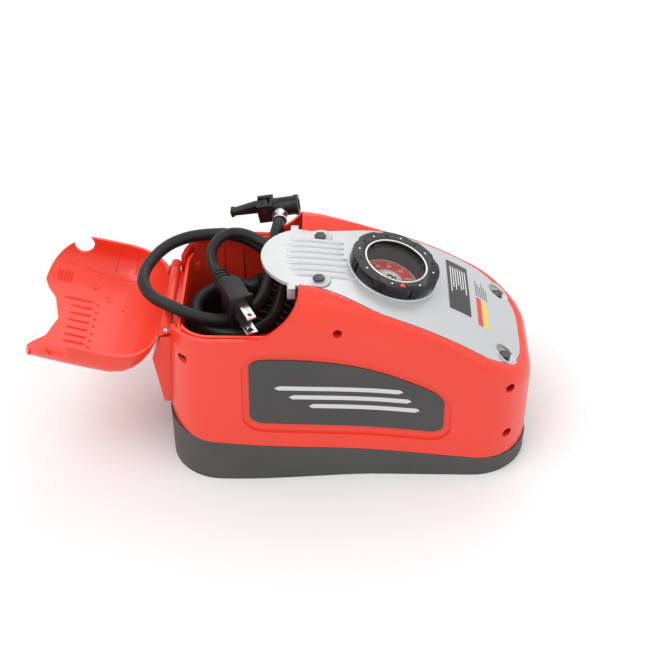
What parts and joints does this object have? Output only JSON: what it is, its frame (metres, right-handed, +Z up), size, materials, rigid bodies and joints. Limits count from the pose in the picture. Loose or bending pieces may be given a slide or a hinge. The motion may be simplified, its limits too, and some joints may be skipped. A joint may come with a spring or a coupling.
{
  "type": "portable mains air inflator",
  "caption": "Portable mains air pump with a dial gauge, an air hose with a lever chuck, a stowed power cord and a flip-up lid over the cord bay.",
  "frame": {"origin": "on the resting face of the base, near the middle of its length, on the middle plane", "axes": "+X from the cord bay towards the nose, +Y towards the side with the air chuck, +Z up"},
  "size_m": [0.348, 0.1616, 0.1486],
  "materials": {
    "base_plastic": "plain",
    "rubber": "plain",
    "screw_steel": "plain",
    "red_shell": "plain",
    "red_tub": "plain",
    "silver_cover": "plain",
    "dark_screw": "plain",
    "label_grey": "plain",
    "black_plastic": "plain",
    "brass_part": "plain",
    "dial_print": "plain",
    "needle": "plain",
    "clear_lens": "plain",
    "ring_plastic": "plain",
    "red_mark": "plain",
    "clear_tube": "plain",
    "bright_steel": "plain",
    "motor_steel": "plain",
    "machine_plastic": "plain",
    "pinion_brass": "plain",
    "cast_alu": "plain",
    "board": "plain",
    "hose_rubber": "plain",
    "bright_nickel": "plain",
    "cord_vinyl": "plain"
  },
  "bodies": {
    "body": {"base_tray": "base_plastic", "rubber_feet": "rubber", "base_screws": "screw_steel", "housing_near": "red_shell", "housing_far": "red_shell", "housing_screws": "screw_steel", "hinge_tail": "red_shell", "cord_tub": "red_tub", "top_cover": "silver_cover", "cover_screws": "dark_screw", "label_near": "label_grey", "label_far": "label_grey", "info_label": "label_grey", "gauge_cup": "black_plastic", "gauge_movement": "brass_part", "gauge_dial": "dial_print", "gauge_lens": "clear_lens", "gauge_tube": "clear_tube", "hinge_pin": "bright_steel", "motor_can": "motor_steel", "motor_end_cap": "machine_plastic", "gear_plate": "bright_steel", "axle_clip": "screw_steel", "cylinder": "cast_alu", "cylinder_head": "cast_alu", "head_bolts": "screw_steel", "air_manifold": "machine_plastic", "circuit_board": "board", "switch_bezel": "black_plastic", "hose_gland": "black_plastic", "hose": "hose_rubber", "hose_ferrule": "bright_nickel", "chuck_body": "black_plastic", "chuck_seal": "rubber", "lever_pin": "bright_steel", "cord_gland": "black_plastic", "cord_lead": "cord_vinyl", "cord_coil": "cord_vinyl", "cord_loop": "cord_vinyl", "plug_relief": "cord_vinyl", "plug_body": "black_plastic", "plug_blades": "bright_nickel"},
    "ring": {"pressure_ring": "ring_plastic", "ring_pointer": "red_mark"},
    "needle": {"gauge_needle": "needle"},
    "lid": {"lid": "red_shell"},
    "rotor": {"rotor_shaft": "bright_steel", "pinion": "pinion_brass", "cooling_fan": "machine_plastic"},
    "crank": {"crank_gear": "machine_plastic", "crank_pin": "bright_steel"},
    "rod": {"connecting_rod": "bright_steel"},
    "piston": {"piston": "cast_alu", "piston_ring": "rubber", "wrist_pin": "bright_steel"},
    "rocker": {"switch_rocker": "red_mark"},
    "lever": {"chuck_lever": "black_plastic"}
  },
  "joints": [
    {"name": "lid_hinge", "type": "hinge", "parent": "body", "child": "lid", "pos_m": [-0.1186, 0, 0.1065], "axis": [0, 1, 0], "range_deg": [0, 165], "deforming": ["hose"]},
    {"name": "ring_turn", "type": "hinge", "parent": "body", "child": "ring", "pos_m": [0.0369, 0, 0.1393], "axis": [0.2773, 0, 0.9608], "range_deg": [-270, 0]},
    {"name": "needle_turn", "type": "hinge", "parent": "body", "child": "needle", "pos_m": [0.0369, 0, 0.1393], "axis": [0.2773, 0, 0.9608], "range_deg": [-270, 0]},
    {"name": "rotor_spin", "type": "hinge", "parent": "body", "child": "rotor", "pos_m": [0.09, 0, 0.058], "axis": [0, 1, 0], "continuous": true},
    {"name": "crank_spin", "type": "hinge", "parent": "body", "child": "crank", "pos_m": [0.057, 0, 0.058], "axis": [0, 1, 0], "continuous": true},
    {"name": "piston_slide", "type": "slide", "parent": "body", "child": "piston", "axis": [-1, 0, 0], "range_m": [0, 0.016]},
    {"name": "rod_swing", "type": "hinge", "parent": "piston", "child": "rod", "pos_m": [0.025, 0.027, 0.058], "axis": [0, 1, 0], "range_deg": [-11.5, 11.5]},
    {"name": "rocker_tilt", "type": "hinge", "parent": "body", "child": "rocker", "pos_m": [0.087, 0.05607, 0.05944], "axis": [1, 0, 0], "range_deg": [0, 16]},
    {"name": "lever_lift", "type": "hinge", "parent": "body", "child": "lever", "pos_m": [-0.05685, 0.081, 0.12654], "axis": [0, 1, 0], "range_deg": [0, 90]}
  ],
  "couplings": [
    {"joint": "crank_spin", "follows": "rotor_spin", "ratio": -0.22222}
  ]
}
